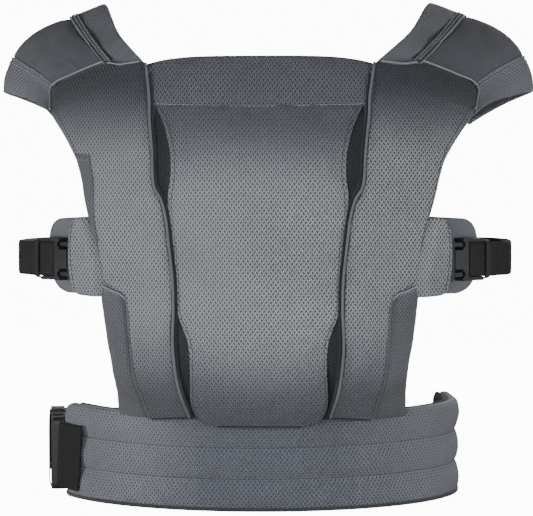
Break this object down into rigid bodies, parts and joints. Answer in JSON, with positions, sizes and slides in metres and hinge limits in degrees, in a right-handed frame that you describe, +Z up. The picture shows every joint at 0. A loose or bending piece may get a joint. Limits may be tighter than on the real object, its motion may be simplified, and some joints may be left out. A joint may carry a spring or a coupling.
{
  "type": "soft baby carrier",
  "caption": "Soft structured baby carrier with a padded front panel, padded shoulder straps crossed at the back, side-release buckles and a padded waist belt.",
  "frame": {"origin": "in the middle plane of the front panel, inside the waist opening, on the plane of the belt's lower hem, where the wearer's waist holds the carrier", "axes": "+Z up towards the shoulders, front panel faces -Y, +X to the right of a front view"},
  "size_m": [0.4066, 0.2913, 0.3761],
  "materials": {
    "panel_mesh": "quilted air mesh knit with small staggered holes, slate grey",
    "belt_mesh": "quilted air mesh knit over channelled padding, slate grey",
    "lining_jersey": "smooth jersey knit, dark grey",
    "shoulder_mesh": "air mesh knit, dark slate grey",
    "spacer_mesh": "open spacer mesh, dark grey",
    "piping_cord": "bound piping, dark grey",
    "padding_foam": "soft foam core inside the belt",
    "webbing": "woven webbing, black",
    "elastic": "ribbed elastic, dark grey",
    "buckle_plastic": "moulded acetal, black, satin"
  },
  "bodies": {
    "carrier": {"body_liner": "lining_jersey", "body_panel": "panel_mesh", "crossover_loop": "piping_cord", "left_back_strap": "spacer_mesh", "left_buckle_pad": "lining_jersey", "left_buckle_socket": "buckle_plastic", "left_edge_facing": "lining_jersey", "left_leg_pad": "lining_jersey", "left_piping": "piping_cord", "left_shoulder_cap": "shoulder_mesh", "left_shoulder_inner_band": "spacer_mesh", "left_shoulder_outer_band": "shoulder_mesh", "left_side_panel": "panel_mesh", "left_wing_cover": "panel_mesh", "right_back_strap": "spacer_mesh", "right_buckle_pad": "lining_jersey", "right_buckle_socket": "buckle_plastic", "right_leg_pad": "lining_jersey", "right_piping": "piping_cord", "right_shoulder_cap": "shoulder_mesh", "right_shoulder_inner_band": "spacer_mesh", "right_shoulder_outer_band": "shoulder_mesh", "right_side_panel": "panel_mesh", "right_wing_cover": "panel_mesh", "safety_loop": "elastic", "waist_belt_cover": "belt_mesh", "waist_belt_lining": "lining_jersey", "waist_buckle_socket": "buckle_plastic", "waist_foam_lower": "padding_foam", "waist_foam_middle": "padding_foam", "waist_foam_upper": "padding_foam", "waist_hem_binding": "piping_cord", "waist_tab": "webbing"},
    "head_flap": {"head_support": "panel_mesh", "head_support_padding": "lining_jersey"},
    "left_plug": {"left_buckle_plug": "buckle_plastic", "left_webbing_loop": "webbing", "left_webbing_keeper": "elastic", "left_strap_webbing": "webbing"},
    "left_upper_prong": {"left_prong_upper": "buckle_plastic"},
    "left_lower_prong": {"left_prong_lower": "buckle_plastic"},
    "right_plug": {"right_buckle_plug": "buckle_plastic", "right_webbing_loop": "webbing", "right_webbing_keeper": "elastic", "right_strap_webbing": "webbing"},
    "right_upper_prong": {"right_prong_upper": "buckle_plastic"},
    "right_lower_prong": {"right_prong_lower": "buckle_plastic"},
    "waist_plug": {"waist_buckle_plug": "buckle_plastic", "waist_webbing_loop": "webbing", "waist_webbing_keeper": "elastic", "waist_webbing": "webbing"},
    "waist_upper_prong": {"waist_prong_upper": "buckle_plastic"},
    "waist_lower_prong": {"waist_prong_lower": "buckle_plastic"}
  },
  "joints": [
    {"name": "left_unclip", "type": "slide", "parent": "carrier", "child": "left_plug", "axis": [-0.766, 0.6428, 0], "range_m": [0, 0.022]},
    {"name": "left_upper_squeeze", "type": "hinge", "parent": "left_plug", "child": "left_upper_prong", "pos_m": [-0.14313, -0.11396, 0.1937], "axis": [0.6428, 0.766, 0], "range_deg": [0, 9.01]},
    {"name": "left_lower_squeeze", "type": "hinge", "parent": "left_plug", "child": "left_lower_prong", "pos_m": [-0.14313, -0.11396, 0.1723], "axis": [-0.6428, -0.766, 0], "range_deg": [0, 9.01]},
    {"name": "right_unclip", "type": "slide", "parent": "carrier", "child": "right_plug", "axis": [0.766, 0.6428, 0], "range_m": [0, 0.022]},
    {"name": "right_upper_squeeze", "type": "hinge", "parent": "right_plug", "child": "right_upper_prong", "pos_m": [0.14313, -0.11396, 0.1937], "axis": [0.6428, -0.766, 0], "range_deg": [0, 9.01]},
    {"name": "right_lower_squeeze", "type": "hinge", "parent": "right_plug", "child": "right_lower_prong", "pos_m": [0.14313, -0.11396, 0.1723], "axis": [-0.6428, 0.766, 0], "range_deg": [0, 9.01]},
    {"name": "waist_unclip", "type": "slide", "parent": "carrier", "child": "waist_plug", "axis": [-0.1564, 0.9877, 0], "range_m": [0, 0.033]},
    {"name": "waist_upper_squeeze", "type": "hinge", "parent": "waist_plug", "child": "waist_upper_prong", "pos_m": [-0.15738, 0.00885, 0.0521], "axis": [0.9877, 0.1564, 0], "range_deg": [0, 9.01]},
    {"name": "waist_lower_squeeze", "type": "hinge", "parent": "waist_plug", "child": "waist_lower_prong", "pos_m": [-0.15738, 0.00885, 0.0099], "axis": [-0.9877, -0.1564, 0], "range_deg": [0, 9.01]},
    {"name": "head_support_fold", "type": "hinge", "parent": "carrier", "child": "head_flap", "pos_m": [0, -0.145, 0.295], "axis": [1, 0, 0], "range_deg": [0, 150]}
  ],
  "couplings": [
    {"joint": "left_upper_squeeze", "follows": "left_unclip", "rad_per_m": 7.14},
    {"joint": "left_lower_squeeze", "follows": "left_unclip", "rad_per_m": 7.14},
    {"joint": "right_upper_squeeze", "follows": "right_unclip", "rad_per_m": 7.14},
    {"joint": "right_lower_squeeze", "follows": "right_unclip", "rad_per_m": 7.14},
    {"joint": "waist_upper_squeeze", "follows": "waist_unclip", "rad_per_m": 4.76},
    {"joint": "waist_lower_squeeze", "follows": "waist_unclip", "rad_per_m": 4.76}
  ]
}
